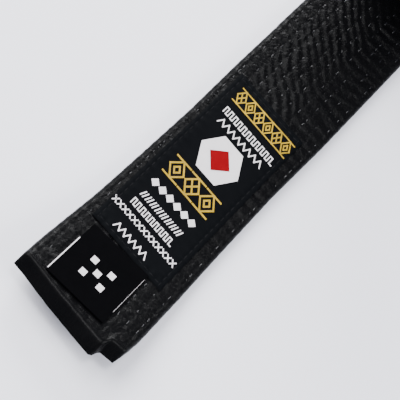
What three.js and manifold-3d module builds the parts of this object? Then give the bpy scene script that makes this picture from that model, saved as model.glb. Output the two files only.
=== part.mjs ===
// Martial arts belt: cotton plies in a quilted black satin cover, with a woven label and a
// folded size tag sewn on one end. That end lies out flat with its tip a little lifted, and
// the rest of the length is wound into a roll that stands on its rim.
//
// Frame: millimetres, +Z up, +X along the belt from the labelled tip to the roll, +Y across
// the belt. The origin is on the floor under the middle of the roll.

import * as THREE from 'three';
import { mergeVertices } from 'three/addons/utils/BufferGeometryUtils.js';
import Module from 'manifold-3d';

const wasm = await Module();
wasm.setup();

// ---- Cloth and layers -------------------------------------------------------------------

const beltLength = 2800; // from tip to tip, laid out straight
const beltWidth = 40;
const satinThickness = 0.35;
const plyThickness = 0.8;
const plyCount = 4;
const layerGap = 0.1; // air between two layers of cloth
const seamSlit = 0.2; // between the two lips of the satin along the long seam
const hemLength = 4.2; // folded satin beyond the ends of the plies
const hemFlare = 0.8; // how far the folded end stands out past each long edge

// ---- How the belt lies ------------------------------------------------------------------

const tailLength = 215; // from the labelled tip to the point under the roll's middle
const curlLength = 55; // the stretch over which the tip lifts off the floor
const curlRise = 8;
const curlSteps = 5;
const bendGap = 0.3; // between two stretches that bend against each other
const labelMargin = 9; // from the label to the first bend line
const rollLead = 15; // the flat satin that belongs to the roll, up to the roll's middle
const rootLength = 20; // from the last bend line to the satin of the roll
const eyeRadius = 8; // the open middle of the roll
const turnGap = 0.6; // the quilting keeps neighbouring turns this far apart
const facetsPerTurn = 12;

// ---- Sewing -----------------------------------------------------------------------------

const rowCount = 10; // lengthwise rows of quilting stitches
const rowSpacing = 3.9;
const rowInset = 1; // from the end of a stretch to the end of its rows
const wedgeClearance = 6; // the rows stop this far short of where the roll closes down on them
const threadWidth = 0.4;
const threadThickness = 0.2;
const threadGap = 0.05; // between a thread and the cloth below it
const closingStitchInset = 2.8; // from the folded end to the row that closes it
const closingStitchMargin = 2; // from the long edges to the ends of that row

// ---- Label and size tag -----------------------------------------------------------------

const labelStart = 27; // from the labelled tip
const labelLength = 74;
const labelWidth = 30;
const labelThickness = 0.5;
const labelOffset = 1.1; // across the belt, from its middle
const labelStitchInset = 1.2;
const tagLength = 20.6;
const tagWidth = 22.3;
const tagOffset = 2.65; // across the belt, from its middle
const tagThickness = 0.25; // one leaf of the folded ribbon
const tagLeafGap = 0.2; // between its two leaves

// ---- Sizes that follow ------------------------------------------------------------------

const beltThickness = 2 * satinThickness + plyCount * plyThickness + (plyCount + 1) * layerGap;
const plyWidth = beltWidth - 2 * (satinThickness + layerGap);
const plyPitch = plyThickness + layerGap;
const threadLow = beltThickness + threadGap;
const threadHigh = threadLow + threadThickness;
const trimLow = threadHigh + layerGap; // the label and the tag lie on the quilting rows
const rollStart = tailLength - rollLead;
const lastBend = rollStart - rootLength;
const firstBend = labelStart + labelLength + labelMargin;
const bendLines = [firstBend, (firstBend + lastBend) / 2, lastBend];

const materials = {
  satin: { color: 0x1c1c22, roughness: 0.42, metalness: 0 },
  cotton: { color: 0xd8d0bd, roughness: 0.95, metalness: 0 },
  thread: { color: 0x24242a, roughness: 0.6, metalness: 0 },
  label: { color: 0x15171e, roughness: 0.7, metalness: 0 },
  tag: { color: 0x101115, roughness: 0.55, metalness: 0 },
};

// ---- The line that the belt's underside follows -------------------------------------------
// Each station holds its distance from the labelled tip, its place in the XZ plane, and the
// vector that one millimetre of thickness adds there.

function station(distance, x, z, normalX, normalZ) {
  return { distance, x, z, normalX, normalZ };
}

function curlStations() {
  const radius = curlLength ** 2 / (2 * curlRise);
  const flatStart = curlLength - tailLength;
  const stations = [];
  for (let step = 0; step <= curlSteps; step += 1) {
    const distance = (curlLength * step) / curlSteps;
    const angle = (curlLength - distance) / radius;
    const x = flatStart - radius * Math.sin(angle);
    const z = radius * (1 - Math.cos(angle));
    stations.push(station(distance, x, z, Math.sin(angle), Math.cos(angle)));
  }
  return stations;
}

function rollStations() {
  const halfFacet = Math.PI / facetsPerTurn;
  const mitre = 1 / Math.cos(halfFacet);
  const pitch = (beltThickness + turnGap) * mitre;
  const chordShare = Math.sin(halfFacet) / halfFacet;
  const rolledArea = ((beltLength - tailLength) * pitch) / (Math.PI * chordShare);
  const outerRadius = Math.sqrt(rolledArea + eyeRadius ** 2);
  const centreHeight = outerRadius / mitre;
  const stations = [];
  let distance = tailLength + outerRadius * Math.sin(halfFacet);
  for (let step = 0; distance < beltLength + 2 * pitch; step += 1) {
    const angle = -Math.PI / 2 + halfFacet * (1 + 2 * step);
    const radius = outerRadius - (pitch * step) / facetsPerTurn;
    const x = radius * Math.cos(angle);
    const z = centreHeight + radius * Math.sin(angle);
    const previous = stations.at(-1);
    if (previous) distance += Math.hypot(x - previous.x, z - previous.z);
    stations.push(station(distance, x, z, -mitre * Math.cos(angle), -mitre * Math.sin(angle)));
  }
  return stations;
}

const flatEnd = station(rollStart, rollStart - tailLength, 0, 0, 1);
const beltLine = [...curlStations(), flatEnd, ...rollStations()];

function stationAt(distance) {
  const next = Math.max(1, beltLine.findIndex((point) => point.distance >= distance));
  const [a, b] = [beltLine[next - 1], beltLine[next]];
  const share = (distance - a.distance) / (b.distance - a.distance);
  const between = (key) => a[key] + share * (b[key] - a[key]);
  return station(distance, between('x'), between('z'), between('normalX'), between('normalZ'));
}

function stretch(from, to) {
  const inside = beltLine.filter((point) => point.distance > from && point.distance < to);
  return [stationAt(from), ...inside, stationAt(to)];
}

// ---- Solids -------------------------------------------------------------------------------

function offsetPoints(from, to, height) {
  const stations = stretch(Math.min(from, to), Math.max(from, to));
  const points = stations.map(
    (point) => new THREE.Vector2(point.x + height * point.normalX, point.z + height * point.normalZ),
  );
  return from < to ? points : points.reverse();
}

function acrossBelt(outline, sideLow, sideHigh) {
  const settings = { depth: sideHigh - sideLow, bevelEnabled: false };
  const geometry = new THREE.ExtrudeGeometry(new THREE.Shape(outline), settings);
  return geometry.rotateX(Math.PI / 2).translate(0, sideHigh, 0);
}

function alongBelt(from, to, low, high, sideLow, sideHigh) {
  const outline = [...offsetPoints(from, to, low), ...offsetPoints(to, from, high)];
  return acrossBelt(outline, sideLow, sideHigh);
}

// Two leaves of one thickness, joined by a fold at the tip and open at the root.
function foldedAlongBelt(tip, root, low, high, leaf, sideLow, sideHigh) {
  const foldInside = tip + Math.sign(root - tip) * leaf;
  const outline = [
    ...offsetPoints(tip, root, low),
    ...offsetPoints(root, foldInside, low + leaf),
    ...offsetPoints(foldInside, root, high - leaf),
    ...offsetPoints(root, tip, high),
  ];
  return acrossBelt(outline, sideLow, sideHigh);
}

function solidOf(geometry) {
  const bare = geometry.clone();
  bare.deleteAttribute('normal');
  bare.deleteAttribute('uv');
  const merged = mergeVertices(bare, 1e-5);
  const vertProperties = new Float32Array(merged.attributes.position.array);
  const triVerts = new Uint32Array(merged.index.array);
  return new wasm.Manifold(new wasm.Mesh({ numProp: 3, vertProperties, triVerts }));
}

function joined(geometries) {
  const solid = geometries.map(solidOf).reduce((whole, piece) => whole.add(piece));
  const { vertProperties, triVerts } = solid.getMesh();
  const geometry = new THREE.BufferGeometry();
  geometry.setAttribute('position', new THREE.BufferAttribute(new Float32Array(vertProperties), 3));
  geometry.setIndex(new THREE.BufferAttribute(new Uint32Array(triVerts), 1));
  return geometry;
}

// The satin goes round the plies: one long edge is a fold, the other holds the seam.
function coverGeometry(from, to) {
  const half = beltWidth / 2;
  const inner = beltThickness - satinThickness;
  const middle = beltThickness / 2;
  return joined([
    alongBelt(from, to, 0, satinThickness, -half, half),
    alongBelt(from, to, inner, beltThickness, -half, half),
    alongBelt(from, to, satinThickness, inner, half - satinThickness, half),
    alongBelt(from, to, satinThickness, middle - seamSlit / 2, -half, satinThickness - half),
    alongBelt(from, to, middle + seamSlit / 2, inner, -half, satinThickness - half),
  ]);
}

function plyGeometry(from, to, ply) {
  const low = satinThickness + layerGap + ply * plyPitch;
  return alongBelt(from, to, low, low + plyThickness, -plyWidth / 2, plyWidth / 2);
}

// The folded satin at an end: two leaves and the fold that joins them at the very tip.
function hemGeometry(tip, root) {
  const half = beltWidth / 2 + hemFlare;
  return foldedAlongBelt(tip, root, 0, beltThickness, satinThickness, -half, half);
}

function threadRow(from, to, middle) {
  const half = threadWidth / 2;
  return alongBelt(from, to, threadLow, threadHigh, middle - half, middle + half);
}

// The quilting thread runs up one row and down the next, so each stretch is one piece.
function quiltingGeometry(from, to) {
  const places = Array.from({ length: rowCount }, (_, row) => (row - (rowCount - 1) / 2) * rowSpacing);
  const rows = places.map((place) => threadRow(from, to, place));
  const turns = places.slice(1).map((place, index) => {
    const end = index % 2 === 0 ? to - threadWidth : from;
    const [low, high] = [places[index] - threadWidth / 2, place + threadWidth / 2];
    return alongBelt(end, end + threadWidth, threadLow, threadHigh, low, high);
  });
  return joined([...rows, ...turns]);
}

function closingStitchGeometry(middle) {
  const half = beltWidth / 2 - closingStitchMargin;
  const [from, to] = [middle - threadWidth / 2, middle + threadWidth / 2];
  return alongBelt(from, to, threadLow, threadHigh, -half, half);
}

function labelGeometry() {
  const [low, high] = [trimLow, trimLow + labelThickness];
  const half = labelWidth / 2;
  const end = labelStart + labelLength;
  return alongBelt(labelStart, end, low, high, labelOffset - half, labelOffset + half);
}

function labelStitchGeometry() {
  const low = trimLow + labelThickness + threadGap;
  const high = low + threadThickness;
  const from = labelStart + labelStitchInset;
  const to = labelStart + labelLength - labelStitchInset;
  const left = labelOffset - labelWidth / 2 + labelStitchInset;
  const right = labelOffset + labelWidth / 2 - labelStitchInset;
  return joined([
    alongBelt(from, to, low, high, left, left + threadWidth),
    alongBelt(from, to, low, high, right - threadWidth, right),
    alongBelt(from, from + threadWidth, low, high, left, right),
    alongBelt(to - threadWidth, to, low, high, left, right),
  ]);
}

// The tag is a ribbon folded double: its ends are caught at the label's lower edge.
function tagGeometry() {
  const root = labelStart - bendGap;
  const high = trimLow + 2 * tagThickness + tagLeafGap;
  const [left, right] = [tagOffset - tagWidth / 2, tagOffset + tagWidth / 2];
  return foldedAlongBelt(root - tagLength, root, trimLow, high, tagThickness, left, right);
}

// ---- Assembly -----------------------------------------------------------------------------

const belt = new THREE.Group();

function addPiece(name, finish, geometry) {
  const mesh = new THREE.Mesh(geometry, new THREE.MeshStandardMaterial(materials[finish]));
  mesh.name = name;
  belt.add(mesh);
}

function addPlies(place, from, to) {
  for (let ply = 0; ply < plyCount; ply += 1) {
    addPiece(`core_ply_${ply + 1}_${place}`, 'cotton', plyGeometry(from, to, ply));
  }
}

const coreStart = hemLength + layerGap;
const coreEnd = beltLength - coreStart;
const stretches = [
  { place: 'labelled_end', from: coreStart, to: bendLines[0] - bendGap / 2 },
  { place: 'first_bend', from: bendLines[0] + bendGap / 2, to: bendLines[1] - bendGap / 2 },
  { place: 'second_bend', from: bendLines[1] + bendGap / 2, to: bendLines[2] - bendGap / 2 },
];
for (const { place, from, to } of stretches) {
  addPiece(`satin_cover_${place}`, 'satin', coverGeometry(from, to));
  addPlies(place, from, to);
  const rowsFrom = place === 'labelled_end' ? from + hemLength : from + rowInset;
  addPiece(`quilting_thread_${place}`, 'thread', quiltingGeometry(rowsFrom, to - rowInset));
}

const flatFrom = lastBend + bendGap / 2;
addPiece('satin_cover_flat', 'satin', coverGeometry(flatFrom, rollStart - layerGap));
addPiece('quilting_thread_flat', 'thread', quiltingGeometry(flatFrom + rowInset, rollStart - wedgeClearance));
addPiece('satin_cover_roll', 'satin', coverGeometry(rollStart, coreEnd));
addPlies('roll', flatFrom, coreEnd);

addPiece('folded_hem_labelled_end', 'satin', hemGeometry(0, hemLength));
addPiece('closing_stitch_labelled_end', 'thread', closingStitchGeometry(hemLength + closingStitchInset));
addPiece('folded_hem_inner_end', 'satin', hemGeometry(beltLength, beltLength - hemLength));
const innerStitch = beltLength - hemLength - closingStitchInset;
addPiece('closing_stitch_inner_end', 'thread', closingStitchGeometry(innerStitch));

addPiece('woven_label', 'label', labelGeometry());
addPiece('label_stitching', 'thread', labelStitchGeometry());
addPiece('size_tag', 'tag', tagGeometry());

export default belt;
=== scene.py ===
"""Quilted black satin martial arts belt: the labelled end laid out flat, the rest rolled up.

All sizes are in metres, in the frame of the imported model: +X runs along the belt from the
labelled tip to the roll, +Y across it, +Z up. Distances along the belt start at that tip.
"""
import logging
import math
from dataclasses import dataclass, field
from enum import Enum

import bmesh
import bpy
import numpy as np
from mathutils import Matrix, Vector


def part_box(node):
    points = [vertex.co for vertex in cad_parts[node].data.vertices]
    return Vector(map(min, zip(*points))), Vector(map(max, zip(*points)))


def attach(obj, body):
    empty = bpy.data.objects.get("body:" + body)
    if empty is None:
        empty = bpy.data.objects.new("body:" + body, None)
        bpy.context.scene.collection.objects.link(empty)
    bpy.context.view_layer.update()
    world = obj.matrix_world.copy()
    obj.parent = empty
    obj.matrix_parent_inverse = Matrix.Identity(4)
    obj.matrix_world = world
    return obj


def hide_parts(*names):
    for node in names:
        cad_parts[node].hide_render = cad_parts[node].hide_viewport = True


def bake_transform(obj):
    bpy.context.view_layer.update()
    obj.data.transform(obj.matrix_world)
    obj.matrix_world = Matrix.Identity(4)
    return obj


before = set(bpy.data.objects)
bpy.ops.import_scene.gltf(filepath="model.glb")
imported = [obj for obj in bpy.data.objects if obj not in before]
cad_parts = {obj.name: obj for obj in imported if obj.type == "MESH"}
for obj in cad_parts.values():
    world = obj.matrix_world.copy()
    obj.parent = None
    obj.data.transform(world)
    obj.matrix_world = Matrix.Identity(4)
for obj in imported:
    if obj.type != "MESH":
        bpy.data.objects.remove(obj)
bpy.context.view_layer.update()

MM = 0.001
LOG = logging.getLogger("belt")
Array = np.ndarray


# ---- Small helpers ------------------------------------------------------------------------


def linear(hex_colour: str) -> tuple[float, float, float, float]:
    """Turn an sRGB hex colour into the linear colour that a shader takes.

    Args:
        hex_colour: six hex digits, such as "1c1c22".

    Returns:
        Linear red, green, blue and an alpha of one.
    """
    channels = [int(hex_colour[i : i + 2], 16) / 255 for i in (0, 2, 4)]
    curved = [c / 12.92 if c <= 0.04045 else ((c + 0.055) / 1.055) ** 2.4 for c in channels]
    return (*curved, 1.0)


def smooth_noise(u: Array, v: Array, seed: int) -> Array:
    """Smooth random heights from -1 to 1 on a lattice with a spacing of one.

    Args:
        u: first coordinate of each point.
        v: second coordinate of each point.
        seed: picks the pattern.

    Returns:
        One height for each point.
    """
    size = 128
    table = np.random.default_rng(seed).uniform(-1, 1, (size, size))
    column, row = np.floor(u).astype(int), np.floor(v).astype(int)
    share_u, share_v = u - column, v - row
    share_u = share_u * share_u * (3 - 2 * share_u)
    share_v = share_v * share_v * (3 - 2 * share_v)
    left, right = column % size, (column + 1) % size
    low, high = row % size, (row + 1) % size
    bottom = table[left, low] * (1 - share_u) + table[right, low] * share_u
    top = table[left, high] * (1 - share_u) + table[right, high] * share_u
    return bottom * (1 - share_v) + top * share_v


def ramp(value: Array, start: float, end: float) -> Array:
    """Rise smoothly from 0 at start to 1 at end."""
    share = np.clip((value - start) / (end - start), 0, 1)
    return share * share * (3 - 2 * share)


def bump(value: Array, width: float) -> Array:
    """Rise to 1 where the value is 0, and fall away over about one width."""
    return np.exp(-((value / width) ** 2))


def even_steps(start: float, end: float, step: float) -> Array:
    """Places from start to end, about one step apart."""
    return np.linspace(start, end, max(2, int(round((end - start) / step)) + 1))


def finished_mesh(name: str, shape: bmesh.types.BMesh) -> bpy.types.Mesh:
    """Turn a shape into a named mesh and free the shape.

    Args:
        name: name of the new mesh.
        shape: what the mesh is made from.

    Returns:
        The new mesh.
    """
    mesh = bpy.data.meshes.new(name)
    shape.to_mesh(mesh)
    shape.free()
    return mesh


def new_object(
    name: str, mesh: bpy.types.Mesh, material: bpy.types.Material, smooth: bool = True
) -> bpy.types.Object:
    """Put a finished mesh in the scene, as an object at the origin.

    Args:
        name: name of the new object.
        mesh: its mesh, already in place.
        material: its only material.
        smooth: whether its faces are shaded as one smooth surface.

    Returns:
        The new object.
    """
    piece = bpy.data.objects.new(name, mesh)
    bpy.context.scene.collection.objects.link(piece)
    mesh.materials.append(material)
    if smooth:
        mesh.shade_smooth()
    else:
        mesh.shade_flat()
    return piece


def cloth_grid(name: str, along: Array, around: Array) -> tuple[bpy.types.Mesh, Array, Array]:
    """Make a grid whose columns and rows stand for places on a cloth.

    Args:
        name: name of the new mesh.
        along: the places of its columns, in metres along the belt.
        around: the places of its rows, in metres round or across the belt.

    Returns:
        The mesh, with a UV map in metres on the cloth, and each vertex's two places.
    """
    sheet = bmesh.new()
    bmesh.ops.create_grid(sheet, x_segments=len(along) - 1, y_segments=len(around) - 1, size=0.5)
    for edge in sheet.edges:
        edge.smooth = not edge.is_boundary
    mesh = finished_mesh(name, sheet)
    flat = get_places(mesh)
    column = (flat[:, 0] + 0.5) * (len(along) - 1)
    row = (flat[:, 1] + 0.5) * (len(around) - 1)
    place_along = np.interp(column, np.arange(len(along)), along)
    place_around = np.interp(row, np.arange(len(around)), around)
    corners = np.empty(len(mesh.loops), dtype=int)
    mesh.loops.foreach_get("vertex_index", corners)
    layer = mesh.uv_layers.new(name="cloth")
    pairs = np.stack([place_along[corners], place_around[corners]], axis=1)
    layer.data.foreach_set("uv", pairs.ravel())
    return mesh, place_along, place_around


def set_places(mesh: bpy.types.Mesh, places: Array) -> None:
    """Move every vertex of a mesh to its place."""
    mesh.vertices.foreach_set("co", places.ravel())
    mesh.update()


def get_places(mesh: bpy.types.Mesh) -> Array:
    """Read where the vertices of a mesh are.

    Args:
        mesh: the mesh.

    Returns:
        One row of x, y, z for each vertex.
    """
    flat = np.empty(len(mesh.vertices) * 3)
    mesh.vertices.foreach_get("co", flat)
    return flat.reshape(-1, 3)


def repeat_shape(name: str, shape: bmesh.types.BMesh, frames: list[Matrix]) -> bpy.types.Mesh:
    """Copy a small shape once for each frame, and free the shape.

    Args:
        name: name of the new mesh.
        shape: the shape about its own origin.
        frames: where each copy goes.

    Returns:
        One mesh with all the copies.
    """
    mesh = bpy.data.meshes.new(name)
    # Through a mesh and back, so that the copies' vertices come in the order of the first's.
    shape.to_mesh(mesh)
    shape.clear()
    shape.from_mesh(mesh)
    single = np.array([(*vert.co, 1.0) for vert in shape.verts])
    sizes = (len(shape.verts), len(shape.edges), len(shape.faces))
    made = 1
    while made < len(frames):
        more = min(made, len(frames) - made)
        groups = zip((shape.verts, shape.edges, shape.faces), sizes)
        copied = [item for group, size in groups for item in list(group)[: more * size]]
        bmesh.ops.duplicate(shape, geom=copied)
        made += more
    shape.to_mesh(mesh)
    shape.free()
    places = np.einsum("kij,vj->kvi", np.array(frames), single)[:, :, :3]
    set_places(mesh, places)
    return mesh


def long_slab(cuts: int) -> bmesh.types.BMesh:
    """Make a unit block that can bend along X.

    Args:
        cuts: how many cuts there are across its long sides.

    Returns:
        The block, about its own middle.
    """
    slab = bmesh.new()
    bmesh.ops.create_cube(slab, size=1)
    long_edges = [edge for edge in slab.edges if abs(edge.verts[0].co.x - edge.verts[1].co.x) > 0.5]
    bmesh.ops.subdivide_edges(slab, edges=long_edges, cuts=cuts)
    return slab


def thicken(piece: bpy.types.Object, thickness: float, offset: float = -1.0) -> None:
    """Give a single sheet of cloth its thickness.

    Args:
        piece: the sheet.
        thickness: the cloth's thickness.
        offset: -1 to put all of it behind the sheet's face, 0 to put half on either side.
    """
    wall = piece.modifiers.new("cloth thickness", "SOLIDIFY")
    wall.thickness = thickness
    wall.offset = offset


# ---- Finishes -----------------------------------------------------------------------------

# The colour sockets of a Mix node, which shares its socket names among several kinds of value.
MIX_FIRST, MIX_SECOND, MIX_RESULT = 6, 7, 2
# The scale at which a Wave texture has one band in each unit.
ONE_BAND = 0.314


def add_node(
    tree: bpy.types.NodeTree, kind: str, settings: dict | None = None, **links: bpy.types.NodeSocket
) -> bpy.types.Node:
    """Add a node, set its properties and sockets, and link what feeds it.

    Args:
        tree: the node tree of a material.
        kind: the node's type, such as "ShaderNodeTexNoise".
        settings: properties by name, and socket values by socket name.
        **links: output sockets by the input's name, with _ in place of spaces.

    Returns:
        The new node.
    """
    node = tree.nodes.new(kind)
    for key, value in (settings or {}).items():
        if key in node.inputs:
            node.inputs[key].default_value = value
        else:
            setattr(node, key, value)
    for key, output in links.items():
        tree.links.new(output, node.inputs[key.replace("_", " ")])
    return node


def start_material(name: str) -> tuple[bpy.types.Material, bpy.types.NodeTree, bpy.types.Node]:
    """Make an empty node material.

    Args:
        name: the material's name.

    Returns:
        The material, its node tree and its principled shader, already linked to the output.
    """
    material = bpy.data.materials.new(name)
    material.use_nodes = True
    tree = material.node_tree
    tree.nodes.clear()
    shader = tree.nodes.new("ShaderNodeBsdfPrincipled")
    output = tree.nodes.new("ShaderNodeOutputMaterial")
    tree.links.new(shader.outputs["BSDF"], output.inputs["Surface"])
    return material, tree, shader


def mottle(
    tree: bpy.types.NodeTree,
    shader: bpy.types.Node,
    in_mm: bpy.types.NodeSocket,
    tones: tuple[str, str],
    grain: dict[str, float],
) -> None:
    """Let a shader's base colour drift between two tones.

    Args:
        tree: the node tree of the material.
        shader: its principled shader.
        in_mm: the surface's coordinates in millimetres.
        tones: the two colours, in hex.
        grain: settings of the noise that chooses between them.
    """
    patches = add_node(tree, "ShaderNodeTexNoise", grain, Vector=in_mm)
    tone = add_node(tree, "ShaderNodeMix", {"data_type": "RGBA"}, Factor=patches.outputs["Fac"])
    tone.inputs[MIX_FIRST].default_value = linear(tones[0])
    tone.inputs[MIX_SECOND].default_value = linear(tones[1])
    tree.links.new(tone.outputs[MIX_RESULT], shader.inputs["Base Color"])


@dataclass(frozen=True)
class BlackSatin:
    """Polyester satin: floats of filament yarn that catch the light on each crinkle."""

    colour: str = "030304"
    worn: str = "09090a"
    roughness: float = 0.25
    shine: float = 0.052  # share of the usual mirror reflection: the dye takes most of it
    crinkle_mm: float = 1.1
    crinkle_relief_mm: float = 0.2
    rib_mm: float = 0.32  # the real ribs are 0.1 mm; drawn coarser so that they show
    rib_relief_mm: float = 0.02

    def build(self) -> bpy.types.Material:
        """Make the satin: crinkles, fine ribs and a slow change of tone.

        Returns:
            The material, which follows the UV map and the "quilted" attribute of the cover.
        """
        material, tree, shader = start_material("black_satin")
        cloth = add_node(tree, "ShaderNodeUVMap", {"uv_map": "cloth"}).outputs["UV"]
        to_mm = {"Scale": (1000, 1000, 1)}
        in_mm = add_node(tree, "ShaderNodeMapping", to_mm, Vector=cloth).outputs["Vector"]
        crinkle = add_node(
            tree,
            "ShaderNodeTexNoise",
            {"Scale": 1 / self.crinkle_mm, "Detail": 4.0, "Roughness": 0.62, "Distortion": 0.6},
            Vector=in_mm,
        ).outputs["Fac"]
        ribs = add_node(
            tree,
            "ShaderNodeTexWave",
            {
                "bands_direction": "Y",
                "Scale": ONE_BAND / self.rib_mm,
                "Distortion": 1.5,
                "Detail": 2.0,
            },
            Vector=in_mm,
        ).outputs["Fac"]
        mottle(tree, shader, in_mm, (self.colour, self.worn), {"Scale": 0.09, "Detail": 3.0})
        smoothest, roughest = self.roughness - 0.06, self.roughness + 0.1
        gloss = add_node(
            tree,
            "ShaderNodeMapRange",
            {"From Min": 0.3, "From Max": 0.7, "To Min": smoothest, "To Max": roughest},
            Value=crinkle,
        )
        tree.links.new(gloss.outputs["Result"], shader.inputs["Roughness"])
        attribute = add_node(tree, "ShaderNodeAttribute", {"attribute_name": "quilted"})
        quilted = attribute.outputs["Fac"]
        crinkle_relief = {"Distance": self.crinkle_relief_mm * MM}
        coarse = add_node(tree, "ShaderNodeBump", crinkle_relief, Strength=quilted, Height=crinkle)
        rib_relief = {"Strength": 0.5, "Distance": self.rib_relief_mm * MM}
        fine = add_node(
            tree, "ShaderNodeBump", rib_relief, Height=ribs, Normal=coarse.outputs["Normal"]
        )
        tree.links.new(fine.outputs["Normal"], shader.inputs["Normal"])
        shader.inputs["Specular IOR Level"].default_value = self.shine
        return material


@dataclass(frozen=True)
class WovenCloth:
    """Plain or damask weave: a grid of threads at its real spacing."""

    name: str
    colour: str
    shade: str
    thread_mm: float
    roughness: float = 0.7
    relief_mm: float = 0.05
    shine: float = 0.3  # share of the usual mirror reflection

    def build(self) -> bpy.types.Material:
        """Make the weave from two crossed sets of threads.

        Returns:
            The material, on Object coordinates.
        """
        material, tree, shader = start_material(self.name)
        place = add_node(tree, "ShaderNodeTexCoord").outputs["Object"]
        to_mm = {"Scale": (1000, 1000, 1000)}
        in_mm = add_node(tree, "ShaderNodeMapping", to_mm, Vector=place).outputs["Vector"]
        weave = add_node(tree, "ShaderNodeMath", {"operation": "MULTIPLY"})
        threads = {"Scale": ONE_BAND / self.thread_mm, "Distortion": 0.4, "Detail": 1.0}
        for socket, direction in enumerate("XY"):
            settings = {"bands_direction": direction, **threads}
            bands = add_node(tree, "ShaderNodeTexWave", settings, Vector=in_mm)
            tree.links.new(bands.outputs["Fac"], weave.inputs[socket])
        mottle(tree, shader, in_mm, (self.colour, self.shade), {"Scale": 0.35, "Detail": 4.0})
        relief = {"Strength": 0.8, "Distance": self.relief_mm * MM}
        raised = add_node(tree, "ShaderNodeBump", relief, Height=weave.outputs[0])
        tree.links.new(raised.outputs["Normal"], shader.inputs["Normal"])
        shader.inputs["Roughness"].default_value = self.roughness
        shader.inputs["Specular IOR Level"].default_value = self.shine
        return material


# Filament polyester, twisted: a little glossier than the satin it is sewn through.
SEWING_THREAD = WovenCloth(
    "black_thread", "0c0c10", "16161b", 0.25, roughness=0.22, relief_mm=0.02, shine=0.6
)
# The same thread round the label: matt, and painted darker than on the satin as painted shade where
# it sits in the label's seam.
SHADED_LABEL_THREAD = WovenCloth(
    "label_thread_painted_shade", "07070a", "0b0b0e", 0.25, roughness=0.6, relief_mm=0.02, shine=0.08
)
# Unbleached plain-weave cotton, matt.
COTTON = WovenCloth("cotton_core", "d8d0bd", "c9bfa6", 0.6, roughness=0.95, relief_mm=0.12)
# Damask label ground: tight black polyester, smoother than the satin and faintly blue.
LABEL_GROUND = WovenCloth("woven_label", "020305", "050608", 0.3, relief_mm=0.02, shine=0.03)
# Taffeta ribbon, a denser black than the label.
RIBBON = WovenCloth(
    "size_tag", "010102", "030304", 0.3, roughness=0.8, relief_mm=0.02, shine=0.02
)
# Weft floats of the label's motifs, a little raised.
WHITE_WEFT = WovenCloth("white_weft", "cfcbcd", "bfbbbe", 0.28, roughness=0.6, relief_mm=0.04)
GOLD_WEFT = WovenCloth(
    "gold_weft", "b5921a", "6e5a0c", 0.28, roughness=0.5, relief_mm=0.06, shine=0.2
)
RED_WEFT = WovenCloth(
    "red_weft", "720009", "640007", 0.28, roughness=0.8, relief_mm=0.04, shine=0.05
)


# ---- How the belt lies --------------------------------------------------------------------


@dataclass
class BeltLine:
    """The line that the belt's underside follows: lifted tip, flat run, then the roll."""

    length: float = 2.8
    tail: float = 0.215  # what lies out flat
    curl: float = 0.055  # how much of the tip lifts
    rise: float = 0.008  # how far it lifts
    eye: float = 0.008  # radius of the hole in the roll
    roll_radius: float = field(init=False)
    pitch: float = field(init=False)  # from one turn of the roll to the next

    def __post_init__(self) -> None:
        """Take the roll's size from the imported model, and its pitch from the belt's length."""
        low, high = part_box("satin_cover_roll")
        self.roll_radius = (high[2] - low[2]) / 2
        rolled = self.length - self.tail
        self.pitch = math.pi * (self.roll_radius**2 - self.eye**2) / rolled

    def place(self, distance: Array, side: Array, height: Array) -> Array:
        """Find points of the belt in space.

        Args:
            distance: how far each point is from the labelled tip, along the belt.
            side: how far it is from the belt's middle, across it.
            height: how far it is above the belt's underside.

        Returns:
            One row of x, y, z for each point.
        """
        curl_radius = self.curl**2 / (2 * self.rise)
        lift = np.maximum(self.curl - distance, 0) / curl_radius
        rolled = np.maximum(distance - self.tail, 0)
        inside = np.maximum(self.roll_radius**2 - rolled * self.pitch / math.pi, 1e-9)
        turn = (self.roll_radius - np.sqrt(inside)) * 2 * math.pi / self.pitch
        radius = self.roll_radius - self.pitch * turn / (2 * math.pi)
        flat_x = np.clip(distance, self.curl, self.tail) - self.tail
        line_x = flat_x - curl_radius * np.sin(lift) + radius * np.sin(turn)
        lifted_z = curl_radius * (1 - np.cos(lift))
        line_z = np.where(rolled > 0, lifted_z + self.roll_radius - radius * np.cos(turn), lifted_z)
        normal_x = np.sin(lift) - np.sin(turn)
        normal_z = np.cos(lift) * np.cos(turn)
        return np.stack([line_x + height * normal_x, side, line_z + height * normal_z], axis=1)


class Face(Enum):
    """The two faces of the belt."""

    LABEL_SIDE = 1
    BACK = -1


# Where each face's random relief starts.
RELIEF_SEEDS = {Face.LABEL_SIDE: 11, Face.BACK: 29}


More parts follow.
